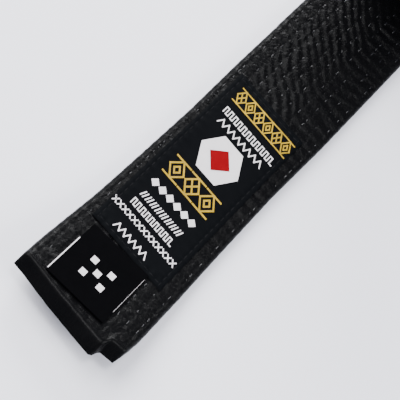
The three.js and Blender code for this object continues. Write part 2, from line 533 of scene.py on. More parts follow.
@dataclass
class Quilting:
    """The relief that the lengthwise stitch rows pull into the satin."""

    rows: int = 10
    spacing: float = 3.9 * MM
    pitch: float = 2.7 * MM
    channel_depth: float = 0.12 * MM
    channel_width: float = 0.5 * MM
    pucker_height: float = 0.025 * MM  # the rise between one stitch and the next
    pucker_width: float = 1.1 * MM
    unevenness: float = 0.35  # of the puckers, as a share of a stitch
    uneven_span: float = 2.2 * MM
    pleat_height: float = 0.17 * MM
    pleat_length: float = 4.4 * MM
    pleat_slant: float = 0.95  # how far a pleat runs along the belt for each metre across it
    slant_start: float = -6 * MM  # below it, the pleats run straight across
    slant_run: float = 19 * MM
    wander: float = 1.7 * MM
    wander_span: float = 9 * MM
    crease_height: float = 0.12 * MM
    crease_size: tuple[float, float] = (0.9 * MM, 1.5 * MM)
    fine_crease_size: tuple[float, float] = (0.55 * MM, 0.8 * MM)
    fine_crease_share: float = 0.6
    patch_size: tuple[float, float] = (14 * MM, 8 * MM)  # patches with more or less relief
    patch_mean: float = 0.75
    patch_swing: float = 0.35
    channel_swing: float = 0.2  # how much of a channel's depth comes and goes with the stitches
    pleat_swing: float = 0.25  # how much of a pleat's height is missing over the rows

    def row_places(self) -> Array:
        """Return how far each row is from the belt's middle."""
        return (np.arange(self.rows) - (self.rows - 1) / 2) * self.spacing

    def lean(self, side: Array) -> Array:
        """Return how far a pleat has moved along the belt at each place across it."""
        return self.pleat_slant * np.clip(side - self.slant_start, 0, self.slant_run)

    def pleats(self, distance: Array, side: Array, face: Face) -> Array:
        """Find where each point is on the slanting pleats, which lie over the rows.

        Args:
            distance: how far each point is from the labelled tip.
            side: how far it is from the belt's middle.
            face: which face of the belt it is on.

        Returns:
            1 on the crest of a pleat and -1 between two.
        """
        noise = smooth_noise(
            distance / self.wander_span, side / self.wander_span, RELIEF_SEEDS[face]
        )
        moved = distance - self.lean(side) * face.value + noise * self.wander
        return np.cos(2 * math.pi * moved / self.pleat_length)

    def creases(self, distance: Array, side: Array, seed: int) -> Array:
        """Find the height of the random creases, coarse and fine together.

        Args:
            distance: how far each point is from the labelled tip.
            side: how far it is from the belt's middle.
            seed: picks the pattern.

        Returns:
            Heights, as shares of the crease height.
        """
        along, across = self.crease_size
        fine_along, fine_across = self.fine_crease_size
        coarse = smooth_noise(distance / along, side / across, seed)
        fine = smooth_noise(distance / fine_along, side / fine_across, seed + 1)
        return coarse + self.fine_crease_share * fine

    def relief(self, distance: Array, side: Array, face: Face) -> Array:
        """Find how far the satin stands off the flat at each point.

        Args:
            distance: how far each point is from the labelled tip.
            side: how far it is from the belt's middle.
            face: which face of the belt it is on.

        Returns:
            Heights, negative where the stitches pull the satin in.
        """
        seed = RELIEF_SEEDS[face]
        rows = self.row_places()
        numbers = np.round(side / self.spacing + (self.rows - 1) / 2)
        nearest = rows[np.clip(numbers, 0, self.rows - 1).astype(int)]
        away = side - nearest
        puff = np.abs(np.sin(math.pi * np.clip(away / self.spacing, -0.5, 0.5)))
        uneven = self.unevenness * smooth_noise(distance / self.uneven_span, nearest / MM, seed + 1)
        pucker = np.cos(2 * math.pi * (distance / self.pitch + uneven))
        pucker = pucker * bump(away, self.pucker_width)
        along, across = self.patch_size
        patch = smooth_noise(distance / along, side / across, seed + 4)
        patch = self.patch_mean + self.patch_swing * patch
        channel = bump(away, self.channel_width)
        channel = channel * (1 - self.channel_swing + self.channel_swing * pucker)
        pleat = self.pleats(distance, side, face)
        pleat = pleat * (1 - self.pleat_swing + self.pleat_swing * puff)
        return (
            -self.channel_depth * channel
            + self.pleat_height * pleat * patch
            + self.pucker_height * pucker
            + self.crease_height * self.creases(distance, side, seed + 2) * patch
        )


@dataclass
class Stretch:
    """A length of belt that is one piece of the visual model."""

    place: str
    start: float
    end: float
    step: float  # between its columns
    bodies: tuple[str, ...]
    nodes: tuple[str, ...] = ()
    hinge: float | None = None  # the bend line that it lies over
    fine: float = 0.5 * MM  # between the rows of its label side


# ---- The satin cover ----------------------------------------------------------------------


@dataclass
class SatinCover:
    """The quilted satin, folded round the core with its seam along one long edge."""

    line: BeltLine
    quilting: Quilting
    half_width: float = 20 * MM
    thickness: float = 4.3 * MM
    edge_radius: float = 1.7 * MM
    edge_step: float = 0.45 * MM  # between the grid's rows round an edge
    side_step: float = 0.5 * MM  # up a side
    lip_step: float = 0.4 * MM  # beside the seam
    seam: float = 0.25 * MM
    cloth: float = 0.3 * MM
    bend_reach: float = 11 * MM
    inner_hem: float = 4.2 * MM
    inner_closing: float = 0.15  # how open the inner end stays at its very edge
    sunk: float = 0.22 * MM  # how far the back's relief is set in, so that it stands on its crests
    calm_from: float = 18.3 * MM  # the relief dies away from here towards the edges
    calm_by: float = 19.6 * MM
    hem_from: float = 3.5 * MM  # and over this much of the folded tip
    hem_by: float = 7 * MM
    calm_share: float = 0.75  # how much of the relief dies away
    smooth_share: float = 0.85  # how much of the crinkles is missing on the folded tip
    underside: float = 0.05 * MM  # what is lower than this rests on the floor
    tip_zone: float = 3 * MM  # where the columns crowd together
    nose_run: float = 3.3 * MM
    nose_height: float = 0.5 * MM
    nose_slope: float = 1.25
    nose_reach: float = 13 * MM  # how far in the slant of the tip is felt
    mouth_run: float = 0.6 * MM
    mouth_height: float = 0.45 * MM
    ridge_height: float = 0.42 * MM  # where the fold of the nose ends
    ridge_offset: float = 0.4 * MM
    ridge_width: float = 0.9 * MM
    lid_blend: float = 0.22 * MM
    end_zone: float = 16 * MM  # past it the section is the plain one
    back_coarseness: float = 1.6  # of the grid on the back, which is seen less
    # How far the tip is cut back at places across the belt: both in millimetres.
    nose_places: tuple[tuple[float, float], ...] = (
        (-20.6, 2.6),
        (-19.2, -0.5),
        (-13.6, -1.1),
        (-12.9, -3.6),
        (-11.8, -4.4),
        (-4.7, -3.7),
        (6.4, -2.4),
        (17.5, -0.6),
        (22.0, -0.1),
    )
    # Half widths of the labelled end at distances from its tip: both in millimetres.
    flare_left: tuple[tuple[float, float], ...] = (
        (0, 21.5), (10, 21.5), (20, 21.1), (35, 20.3), (50, 20.0), (80, 19.5), (105, 19.9),
    )
    flare_right: tuple[tuple[float, float], ...] = (
        (0, 18.6), (4, 19.6), (9, 20.1), (30, 20.1), (50, 19.7), (78, 19.3), (105, 20.0),
    )

    def section(self, spacing: float) -> tuple[Array, Array, Array, Array, Array]:
        """Lay out one cross-section, from the seam under the belt and over it to the seam.

        Args:
            spacing: distance between points on the label side.

        Returns:
            For each point: its place round the cloth, across the belt, and in height, and
            the two parts of its outward direction.
        """
        radius, half, full = self.edge_radius, self.half_width, self.thickness
        flat = half - radius
        lip = full / 2 - radius - self.seam / 2
        arc = radius * math.pi / 2
        corner = (arc, self.edge_step)
        lip_run = (lip, self.lip_step)
        runs = [
            lip_run,
            corner,
            (2 * flat, spacing * self.back_coarseness),
            corner,
            (full - 2 * radius, self.side_step),
            corner,
            (2 * flat, spacing),
            corner,
            lip_run,
        ]
        starts = np.concatenate([[0], np.cumsum([length for length, _ in runs])])
        parts = [
            even_steps(start, end, step)[:-1]
            for start, end, (_, step) in zip(starts[:-1], starts[1:], runs)
        ]
        around = np.concatenate([*parts, [starts[-1]]])
        quarter = math.pi / 2
        turns = [quarter if run is corner else 0 for run in runs]
        headings = -quarter + np.concatenate([[0], np.cumsum(turns)])
        heading = np.interp(around, starts, headings)
        fine = np.linspace(0, starts[-1], 4000)
        fine_heading = np.interp(fine, starts, headings)
        move = np.diff(fine)
        middle = (fine_heading[1:] + fine_heading[:-1]) / 2
        side = np.concatenate([[0], np.cumsum(move * np.cos(middle))]) - half
        height = np.concatenate([[0], np.cumsum(move * np.sin(middle))])
        height = height + full / 2 - self.seam / 2
        return (
            around,
            np.interp(around, fine, side),
            np.interp(around, fine, height),
            np.sin(heading),
            -np.cos(heading),
        )

    def shaped_end(self, distance: Array, side: Array, height: Array) -> tuple[Array, Array, Array]:
        """Give the labelled end its flare, its folded nose and its slanting tip.

        Args:
            distance: distance from the tip, as if the end were cut square.
            side: place across the belt.
            height: height above the belt's underside.

        Returns:
            The three coordinates, changed near the tip.
        """
        left = np.interp(distance / MM, *zip(*self.flare_left)) * MM / self.half_width
        right = np.interp(distance / MM, *zip(*self.flare_right)) * MM / self.half_width
        side = side * np.where(side > 0, left, right)
        nose = np.interp(side / MM, *zip(*self.nose_places)) * MM
        moved = distance + nose * (1 - ramp(distance, 0.0, self.nose_reach))
        mouth = np.sqrt(np.clip(distance / self.mouth_run, 0, 1))
        slope = self.nose_height + self.mouth_height * mouth + distance * self.nose_slope
        ridge = bump(distance - self.nose_run - self.ridge_offset, self.ridge_width)
        crest = self.thickness + self.ridge_height * ridge
        lid = -self.lid_blend * np.logaddexp(-crest / self.lid_blend, -slope / self.lid_blend)
        floor = self.nose_height * (1 - mouth)
        share = np.clip(height / self.thickness, 0, 1.2)
        height = np.where(distance < self.end_zone, floor + share * (lid - floor), height)
        return moved, side, height

    def columns(self, stretch: Stretch) -> Array:
        """Choose the columns of a stretch, which crowd together at the tip.

        Args:
            stretch: the length of belt.

        Returns:
            Distances from the labelled tip.
        """
        along = even_steps(stretch.start, stretch.end, stretch.step)
        if stretch.start <= 0:
            tip = even_steps(0, 1, 0.05) ** 1.5 * self.tip_zone
            along = np.concatenate([tip, along[along > 1.1 * self.tip_zone]])
        return along

    def build(self, stretch: Stretch, material: bpy.types.Material) -> bpy.types.Object:
        """Make one stretch of cover and put its relief into it.

        Args:
            stretch: the length of belt.
            material: the satin.

        Returns:
            The cover, as thick as its cloth, with its face where the section lies.
        """
        around, *section = self.section(stretch.fine)
        mesh, distance, lap = cloth_grid(f"satin_{stretch.place}", self.columns(stretch), around)
        side, height, out_side, out_height = (np.interp(lap, around, part) for part in section)
        middle = self.thickness / 2
        upper = self.quilting.relief(distance, side, Face.LABEL_SIDE)
        lower = self.quilting.relief(distance, side, Face.BACK)
        edge = 1 - self.calm_share * ramp(np.abs(side), self.calm_from, self.calm_by)
        hem = 1 - ramp(distance, self.hem_from, self.hem_by)
        relief = np.where(height > middle, upper, lower) * edge * (1 - self.calm_share * hem)
        relief = relief - self.sunk * (1 - ramp(height, 0, middle))
        relief = np.where(height < self.underside, np.minimum(relief, 0), relief)
        if stretch.start <= 0:
            distance, side, height = self.shaped_end(distance, side, height)
        closing = np.sqrt(np.clip((self.line.length - distance) / self.inner_hem, 0, 1))
        open_share = self.inner_closing + (1 - self.inner_closing) * closing
        height = middle + (height - middle) * open_share
        side = side + out_side * relief
        height = height + out_height * relief
        set_places(mesh, self.line.place(distance, side, height))
        quilted = mesh.attributes.new("quilted", "FLOAT", "POINT")
        quilted.data.foreach_set("value", 1 - self.smooth_share * hem)
        mesh.flip_normals()
        piece = new_object(f"satin_{stretch.place}", mesh, material)
        thicken(piece, self.cloth)
        return piece


# ---- Quilting stitches --------------------------------------------------------------------


@dataclass
class StitchSewing:
    """The thread of the lengthwise rows: one short raised bead for each stitch."""

    line: BeltLine
    quilting: Quilting
    belt_thickness: float
    length: float = 2.0 * MM
    radius: float = 0.17 * MM
    squash: float = 0.8
    first: float = 8 * MM  # the rows start past the folded hem
    sway: float = 0.06 * MM
    turn: float = 0.05  # how far a stitch turns out of its row, in radians
    loose_share: float = 0.07  # stitches that stand up enough to catch the light
    loose_rise: float = 0.04 * MM
    tight_rise: float = -0.1 * MM
    back_share: float = 0.9  # of the channels' depth that the back's stitches are set in

    def frame(self, run: float, across: float, height: float, angle: float = 0.0) -> Matrix:
        """Find the frame of one stitch, with the belt laid out flat.

        Args:
            run: distance of its middle from the labelled tip.
            across: its place across the belt.
            height: how far it is above the belt's underside.
            angle: how far it turns out of its row, in radians.

        Returns:
            A frame that takes a unit ball to the stitch.
        """
        size = Matrix.Diagonal((self.length / 2, self.radius, self.radius * self.squash, 1))
        return Matrix.Translation((run, across, height)) @ Matrix.Rotation(angle, 4, "Z") @ size

    def beads(self, name: str, frames: list[Matrix]) -> bpy.types.Mesh:
        """Make one bead for each frame.

        Args:
            name: name of the new mesh.
            frames: where each bead goes.

        Returns:
            One mesh with all the beads.
        """
        bead = bmesh.new()
        bmesh.ops.create_uvsphere(bead, u_segments=6, v_segments=5, radius=1)
        return repeat_shape(name, bead, frames)

    def build(
        self, stretch: Stretch, hidden: "WovenLabel", material: bpy.types.Material
    ) -> bpy.types.Object:
        """Sew the rows of one stretch, leaving out what the label, the tag or the roll covers.

        Args:
            stretch: the length of belt.
            hidden: the label, which knows what it and the tag cover.
            material: the thread.

        Returns:
            The stitches of both faces, or of the outer face alone on the roll.
        """
        frames = []
        pitch = self.quilting.pitch
        first = max(stretch.start, self.first)
        depth = self.quilting.channel_depth
        jitter = np.random.default_rng(int(stretch.start * 1e5) + 5)
        runs = [i * pitch for i in range(int(stretch.end / pitch)) if first < (i - 0.5) * pitch]
        for row in self.quilting.row_places():
            for run in runs:
                offset = float(jitter.normal(0, self.sway / MM)) * MM
                loose = jitter.random() < self.loose_share
                rise = self.loose_rise if loose else self.tight_rise
                if stretch.hinge is not None and not hidden.covers(run, row):
                    angle = float(jitter.normal(0, self.turn))
                    top = self.belt_thickness - depth + rise
                    frames.append(self.frame(run, row + offset, top, angle))
                frames.append(self.frame(run, row - offset, depth * self.back_share))
        name = f"stitches_{stretch.place}"
        mesh = self.beads(name, frames)
        set_places(mesh, self.line.place(*get_places(mesh).T))
        return new_object(name, mesh, material)


# ---- Woven label --------------------------------------------------------------------------


class Pattern(Enum):
    """Plain woven border patterns, which stand where a label has its lines of words."""

    ZIGZAG = "zigzag"
    FRET = "fret"
    CROSS = "cross"
    BLOCK = "block"
    HATCH = "hatch"
    NET = "net"
    NEST = "nest"


# A lozenge and two border lines, which both lozenge patterns fill in.
LOZENGE = ((0.5, 0, 0, 0.5), (0, 0.5, 0.5, 1), (0.5, 1, 1, 0.5), (1, 0.5, 0.5, 0))
BORDERS = ((0, 0, 1, 0), (0, 1, 1, 1))
# Each pattern's strokes, in a cell one wide and one high.
STROKES: dict[Pattern, tuple[tuple[float, float, float, float], ...]] = {
    Pattern.ZIGZAG: ((0, 0, 0.5, 1), (0.5, 1, 1, 0)),
    Pattern.FRET: ((0, 0, 0, 1), (0, 1, 0.5, 1), (0.5, 1, 0.5, 0), (0.5, 0, 1, 0)),
    Pattern.CROSS: ((0.05, 0.1, 0.95, 0.9), (0.05, 0.9, 0.95, 0.1)),
    Pattern.BLOCK: ((0.49, 0.49, 0.51, 0.51),),
    Pattern.HATCH: ((0.1, 0, 0.5, 1), (0.6, 0, 1, 1)),
    Pattern.NET: (*LOZENGE, (0.25, 0.25, 0.75, 0.75), (0.25, 0.75, 0.75, 0.25), *BORDERS),
    Pattern.NEST: (
        *LOZENGE,
        (0.5, 0.3, 0.3, 0.5), (0.3, 0.5, 0.5, 0.7), (0.5, 0.7, 0.7, 0.5), (0.7, 0.5, 0.5, 0.3),
        *BORDERS,
    ),
}


@dataclass(frozen=True)
class PatternRow:
    """One row of woven pattern across the label, in millimetres."""

    patterns: tuple[Pattern, ...]  # taken in turn
    middle: float  # distance of its middle from the labelled tip
    left: float  # across the belt
    right: float
    height: float
    cells: int
    stroke: float
    gap: float = 0.25  # share of a cell that stays empty

    def corner(self, index: int, x: float, y: float) -> Vector:
        """Find a point of one cell on the label.

        Args:
            index: the cell's number from the left.
            x: place across the cell, from 0 to 1.
            y: place up the cell, from 0 to 1.

        Returns:
            Distance from the tip and place across the belt, in metres.
        """
        cell = (self.left - self.right) / self.cells
        across = self.left - (index + self.gap / 2 + x * (1 - self.gap)) * cell
        return Vector(((self.middle + (y - 0.5) * self.height) * MM, across * MM, 0))


WHITE_ROWS = (
    PatternRow((Pattern.ZIGZAG,), 31.2, 9.7, -4.2, 2.3, 6, 0.42, 0.0),
    PatternRow((Pattern.CROSS,), 36.9, 16.0, -12.2, 2.2, 13, 0.42),
    PatternRow((Pattern.FRET,), 41.2, 11.1, -6.9, 2.2, 9, 0.42, 0.0),
    PatternRow((Pattern.HATCH,), 45.5, 11.1, -6.9, 2.1, 8, 0.42, 0.1),
    PatternRow((Pattern.BLOCK,), 51.2, 11.9, -8.3, 4.2, 6, 2.3, 0.0),
    PatternRow((Pattern.ZIGZAG,), 83.2, 10.6, -9.6, 2.2, 8, 0.42, 0.0),
    PatternRow((Pattern.FRET,), 87.2, 11.6, -11.7, 2.3, 11, 0.42, 0.0),
)
GOLD_ROWS = (
    PatternRow((Pattern.NEST, Pattern.NET), 59.7, 11.9, -9.2, 7.4, 3, 0.6, 0.12),
    PatternRow((Pattern.NET, Pattern.NEST), 94.6, 12.6, -13.2, 5.9, 6, 0.46, 0.12),
)


@dataclass
class SewnOn:
    """A cloth that is sewn on the satin slightly askew, and carries woven motifs."""

    line: BeltLine
    belt_thickness: float
    middle: float = 0.0
    lean: float = 0.0

    def top(self, distance: Array, side: Array) -> Array:
        """Find the height of its upper face at each point, which each such cloth gives."""
        raise NotImplementedError

    def put(self, mesh: bpy.types.Mesh, distance: Array, side: Array, height: Array) -> None:
        """Put a mesh's vertices in place on the belt, turned with the cloth.

        Args:
            mesh: the mesh.
            distance: how far each vertex is from the labelled tip, before the turn.
            side: how far it is from the belt's middle.
            height: how far it is above the belt's underside.
        """
        askew = distance + self.lean * (side - self.middle)
        set_places(mesh, self.line.place(askew, side, height))

    def lay(self, mesh: bpy.types.Mesh, material: bpy.types.Material) -> bpy.types.Object:
        """Lay flat motifs on the cloth.

        Args:
            mesh: the motifs, whose X is distance, Y is side and Z is height over the cloth.
            material: their yarn.

        Returns:
            The motifs, as one piece that has the mesh's name.
        """
        distance, side, over = get_places(mesh).T
        self.put(mesh, distance, side, self.top(distance, side) + over)
        return new_object(mesh.name, mesh, material, smooth=False)


@dataclass
class WovenLabel(SewnOn):
    """The label, its motifs of coloured weft, and the stitches round its edge."""

    middle: float = 1.1 * MM
    lean: float = 0.08
    start: float = 27.2 * MM
    length: float = 74.0 * MM
    width: float = 30.4 * MM
    rise: float = 0.55 * MM  # its top over the satin
    cloth: float = 0.3 * MM
    grid: float = 0.45 * MM
    inset: float = 1.5 * MM  # of its stitches from its edge
    stitch_pitch: float = 2.6 * MM
    stitch_sunk: float = 0.02 * MM
    edge_drop: float = 0.32 * MM
    edge_width: float = 0.9 * MM
    seam_depth: float = 0.2 * MM
    seam_width: float = 0.5 * MM
    ruffle_height: float = 0.12 * MM
    ruffle_length: float = 3.1 * MM
    ruffle_width: float = 1.5 * MM
    ruffle_span: float = 6 * MM
    swell_height: float = 0.16 * MM
    swell_size: tuple[float, float] = (7 * MM, 9 * MM)
    ripple_height: float = 0.05 * MM
    ripple_size: tuple[float, float] = (2.6 * MM, 3.4 * MM)
    float_height: float = 0.07 * MM
    # Strokes lie in many thin layers, so that no two that cross share a face.
    layer_step: float = 0.0016 * MM
    layer_top: float = 0.02 * MM
    emblem_run: float = 73.2 * MM
    emblem_side: float = 1.0 * MM
    # What is hidden: a little more than the label, and the tag as far as the label.
    margins: tuple[float, float] = (1 * MM, 1.5 * MM)
    tag_start: float = 6 * MM
    tag_overlap: float = 2 * MM
    tag_sides: tuple[float, float] = (-8.5 * MM, 13.8 * MM)

    def covers(self, run: float, side: float) -> bool:
        """Say whether the label or the tag hides a stitch.

        Args:
            run: the stitch's distance from the labelled tip.
            side: its place across the belt.

        Returns:
            True where it can't be seen.
        """
        before, after = self.margins
        over_label = self.start - before < run < self.start + self.length + after
        over_label = over_label and abs(side - self.middle) < self.width / 2
        over_tag = self.tag_start < run < self.start + self.tag_overlap
        return over_label or (over_tag and self.tag_sides[0] < side < self.tag_sides[1])

    def top(self, distance: Array, side: Array) -> Array:
        """Find the height of the label's top, which its stitches draw in.

        Args:
            distance: how far each point is from the labelled tip.
            side: how far it is from the belt's middle.

        Returns:
            Heights above the belt's underside.
        """
        run = (distance - self.start) / self.length
        across = (side - self.middle) / (self.width / 2)
        edge_run = np.minimum(run, 1 - run) * self.length
        edge_side = (1 - np.abs(across)) * self.width / 2
        edge = np.minimum(edge_run, edge_side)
        drop = self.edge_drop * (1 - ramp(edge, 0, self.edge_width))
        seam = self.seam_depth * bump(edge - self.inset, self.seam_width)
        along_edge = np.where(edge_run < edge_side, side, distance)
        uneven = 2 * smooth_noise(along_edge / self.ruffle_span, side * 0, 3)
        pucker = np.sin(2 * math.pi * along_edge / self.ruffle_length + uneven)
        ruffle = self.ruffle_height * pucker * bump(edge - self.inset * 1.1, self.ruffle_width)
        along, over = self.swell_size
        swell = self.swell_height * smooth_noise(distance / along, side / over, 17)
        along, over = self.ripple_size
        ripple = self.ripple_height * smooth_noise(distance / along, side / over, 19)
        return self.belt_thickness + self.rise - drop - seam + ruffle + swell + ripple

    def sheet(self, material: bpy.types.Material) -> bpy.types.Object:
        """Make the label's ground.

        Args:
            material: its cloth.

        Returns:
            The ground, as thick as its cloth.
        """
        half = self.width / 2
        along = even_steps(self.start, self.start + self.length, self.grid)
        across = even_steps(self.middle - half, self.middle + half, self.grid)
        mesh, distance, side = cloth_grid("woven_label_ground", along, across)
        self.put(mesh, distance, side, self.top(distance, side))
        piece = new_object(mesh.name, mesh, material)
        thicken(piece, self.cloth)
        return piece

    def stroke(self, start: Vector, end: Vector, width: float, level: float) -> Matrix:
        """Find the frame of one stroke of floats between two points.

        Args:
            start: where it starts.
            end: where it ends.
            width: its width, by which it also reaches past its two ends together.
            level: its height over the label.

        Returns:
            A frame that takes a unit bar to the stroke.
        """
        run = end - start
        turn = Matrix.Rotation(math.atan2(run.y, run.x), 4, "Z")
        size = Matrix.Diagonal((run.length + width, width, self.float_height, 1))
        middle = (start + end) / 2
        return Matrix.Translation((middle.x, middle.y, level)) @ turn @ size

    def rows(
        self, name: str, rows: tuple[PatternRow, ...], material: bpy.types.Material
    ) -> bpy.types.Object:
        """Weave rows of pattern in one colour.

        Args:
            name: name of the piece.
            rows: the rows.
            material: their yarn.

        Returns:
            All the rows, as one piece.
        """
        frames = []
        level = 0.0
        for row in rows:
            for index in range(row.cells):
                for x0, y0, x1, y1 in STROKES[row.patterns[index % len(row.patterns)]]:
                    level = (level + self.layer_step) % self.layer_top
                    start, end = row.corner(index, x0, y0), row.corner(index, x1, y1)
                    frames.append(self.stroke(start, end, row.stroke * MM, level))
        bar = bmesh.new()
        bmesh.ops.create_grid(bar, x_segments=4, y_segments=1, size=0.5)
        bmesh.ops.extrude_face_region(bar, geom=list(bar.faces))
        for vert in list(bar.verts)[len(bar.verts) // 2 :]:
            vert.co.z += 0.5
        return self.lay(repeat_shape(name, bar, frames), material)

    def emblem(
        self, name: str, radius: float, sides: int, level: float, material: bpy.types.Material
    ) -> bpy.types.Object:
        """Weave one many-sided patch in the middle of the label.

        Args:
            name: name of the piece.
            radius: from its middle to its corners.
            sides: how many sides it has.
            level: its height over the label.
            material: its yarn.

        Returns:
            The patch.
        """
        patch = bmesh.new()
        centre = Matrix.Translation((self.emblem_run, self.emblem_side, level))
        bmesh.ops.create_circle(
            patch, cap_ends=True, cap_tris=True, segments=sides, radius=radius, matrix=centre
        )
        bmesh.ops.subdivide_edges(patch, edges=list(patch.edges), cuts=9, use_grid_fill=True)
        piece = self.lay(finished_mesh(name, patch), material)
        thicken(piece, self.float_height, 0.0)
        return piece

    def edge_stitches(
        self, sewing: StitchSewing, material: bpy.types.Material
    ) -> bpy.types.Object:
        """Sew round the label, a little in from its edge.

        Args:
            sewing: what gives the stitches their shape.
            material: the thread.

        Returns:
            All the stitches, as one piece.
        """
        frames = []
        sunk = -self.stitch_sunk
        half = self.width / 2 - self.inset
        low, high = self.start + self.inset, self.start + self.length - self.inset
        for side in (self.middle - half, self.middle + half):
            runs = even_steps(low, high, self.stitch_pitch)
            frames += [sewing.frame(run, side, sunk) for run in runs]
        short = half - self.stitch_pitch / 2
        for run in (low, high):
            sides = even_steps(self.middle - short, self.middle + short, self.stitch_pitch)
            frames += [sewing.frame(run, side, sunk, math.pi / 2) for side in sides]
        return self.lay(sewing.beads("label_stitches", frames), material)


# ---- Size tag -----------------------------------------------------------------------------


@dataclass
class SizeTag(SewnOn):
    """A ribbon folded double, with white selvedges and five woven pips."""

    middle: float = 2.65 * MM
    lean: float = -0.02
    tip: float = 3.8 * MM
    root: float = 26.6 * MM
    width: float = 22.3 * MM
    low: float = 0.32 * MM  # of its lower leaf over the belt
    high: float = 0.75 * MM  # of its upper leaf
    gape: float = 0.22 * MM  # how far the leaves part in the middle
    wave: float = 0.1 * MM
    wave_size: tuple[float, float] = (6 * MM, 7 * MM)
    low_wave: float = 0.3  # how much of the wave the lower leaf has
    cloth: float = 0.16 * MM
    grid: float = 0.5 * MM
    fold_grid: float = 0.12 * MM
    yarn_height: float = 0.1 * MM
    # The rest is in millimetres, as bars() takes it.
    selvedge_runs: tuple[float, float] = (11.8, 16.5)  # the middles of the two edges' yarns
    selvedge_lengths: tuple[float, float] = (15.2, 15.8)
    selvedge_widths: tuple[float, float] = (0.34, 0.06)
    pip_size: float = 2.2
    pip_middle: tuple[float, float] = (14.4, 2.5)
    pips_from_middle: tuple[tuple[float, float], ...] = (
        (0, 0), (2.9, 3.4), (2.9, -3.4), (-2.9, 3.4), (-2.9, -3.4),
    )

    def height(self, distance: Array, side: Array, upper: Array) -> Array:
        """Find the height of the ribbon's two leaves, which part a little in the middle.

        Args:
            distance: how far each point is from the labelled tip.
            side: how far it is from the belt's middle.
            upper: 0 on the lower leaf and 1 on the upper.

        Returns:
            Heights of the ribbon's middle surface above the belt's underside.
        """
        run = np.clip((distance - self.tip) / (self.root - self.tip), 0, 1)
        apart = self.high - self.low + np.sin(math.pi * run) * self.gape
        along, over = self.wave_size
        wave = self.wave * smooth_noise(distance / along, side / over, 41)
        wave = wave * (self.low_wave + (1 - self.low_wave) * upper)
        return self.belt_thickness + self.low + upper * apart + wave

    def top(self, distance: Array, side: Array) -> Array:
        """Return the height of the upper leaf's upper face."""
        return self.height(distance, side, np.ones_like(side)) + self.cloth / 2

    def ribbon(self, material: bpy.types.Material) -> bpy.types.Object:
        """Make the folded ribbon: out along the lower leaf, round the fold, back on top.

        Args:
            material: its cloth.

        Returns:
            The ribbon, as thick as its cloth.
        """
        leaf = self.root - self.tip
        radius = (self.high - self.low) / 2
        bend = math.pi * radius
        lap = np.concatenate([
            even_steps(0, leaf, self.grid)[:-1],
            even_steps(leaf, leaf + bend, self.fold_grid)[:-1],
            even_steps(leaf + bend, 2 * leaf + bend, self.grid),
        ])
        half = self.width / 2
        across = even_steps(self.middle - half, self.middle + half, self.grid)
        mesh, place, side = cloth_grid("size_tag_ribbon", lap, across)
        turn = np.clip((place - leaf) / radius, 0, math.pi)
        back = self.tip + np.maximum(place - leaf - bend, 0)
        distance = np.where(place < leaf, self.root - place, back) - radius * np.sin(turn)
        upper = (1 - np.cos(turn)) / 2
        self.put(mesh, distance, side, self.height(distance, side, upper))
        mesh.flip_normals()
        piece = new_object(mesh.name, mesh, material)
        thicken(piece, self.cloth, 0.0)
        return piece

    def bars(
        self, name: str, bars: list[tuple[float, float, float, float]], cuts: int
    ) -> bpy.types.Mesh:
        """Make thin bars of yarn.

        Args:
            name: name of the new mesh.
            bars: each bar's run, side, length and width, in millimetres.
            cuts: how many cuts there are across each bar.

        Returns:
            One mesh with all the bars.
        """
        frames = []
        for run, side, length, width in bars:
            size = Matrix.Diagonal((length * MM, width * MM, self.yarn_height, 1))
            frames.append(Matrix.Translation((run * MM, side * MM, 0)) @ size)
        return repeat_shape(name, long_slab(cuts), frames)

    def pips(self, material: bpy.types.Material) -> bpy.types.Object:
        """Weave five pips, which give the size the way a die does.

        Args:
            material: their yarn.

        Returns:
            The pips, as one piece.
        """
        run, side = self.pip_middle
        size = self.pip_size
        bars = [(run + x, side + y, size, size) for x, y in self.pips_from_middle]
        return self.lay(self.bars("size_tag_pips", bars, 1), material)

    def selvedges(self, material: bpy.types.Material) -> bpy.types.Object:
        """Make the white yarn along the ribbon's two edges, of which one shows less.

        Args:
            material: its yarn.

        Returns:
            Both edges, as one piece.
        """
        half = self.width / 2
        sides = ((self.middle + half) / MM, (self.middle - half) / MM)
        bars = list(zip(self.selvedge_runs, sides, self.selvedge_lengths, self.selvedge_widths))
        return self.lay(self.bars("size_tag_selvedges", bars, 20), material)


# ---- Cotton core --------------------------------------------------------------------------


@dataclass
class CottonCore:
    """Four plies of cotton inside the cover, with a narrow gap between them."""

    line: BeltLine
    belt_thickness: float
    plies: int = 4
    half_width: float = 18.6 * MM
    low: float = 0.72 * MM
    gap: float = 0.06 * MM
    step: float = 4 * MM  # between cuts across a ply
    tip_clear: float = 5.5 * MM  # from the labelled tip
    inner_clear: float = 6 * MM  # from the inner end

    def ply(self, stretch: Stretch, index: int, material: bpy.types.Material) -> bpy.types.Object:
        """Make one ply of one stretch as a slim slab.

        Args:
            stretch: the length of belt.
            index: the ply's number from the back, counted from 0.
            material: the cotton.

        Returns:
            The ply, bent with the belt.
        """
        start = max(stretch.start, self.tip_clear)
        end = min(stretch.end, self.line.length - self.inner_clear)
        pitch = (self.belt_thickness - 2 * self.low) / self.plies
        name = f"core_ply_{index + 1}_{stretch.place}_cloth"
        mesh = finished_mesh(name, long_slab(max(1, int((end - start) / self.step))))
        run, across, up = get_places(mesh).T
        distance = start + (run + 0.5) * (end - start)
        height = self.low + (index + 0.5 + up) * pitch - np.sign(up) * self.gap / 2
        set_places(mesh, self.line.place(distance, across * 2 * self.half_width, height))
        return new_object(name, mesh, material, smooth=False)


# ---- Studio -------------------------------------------------------------------------------


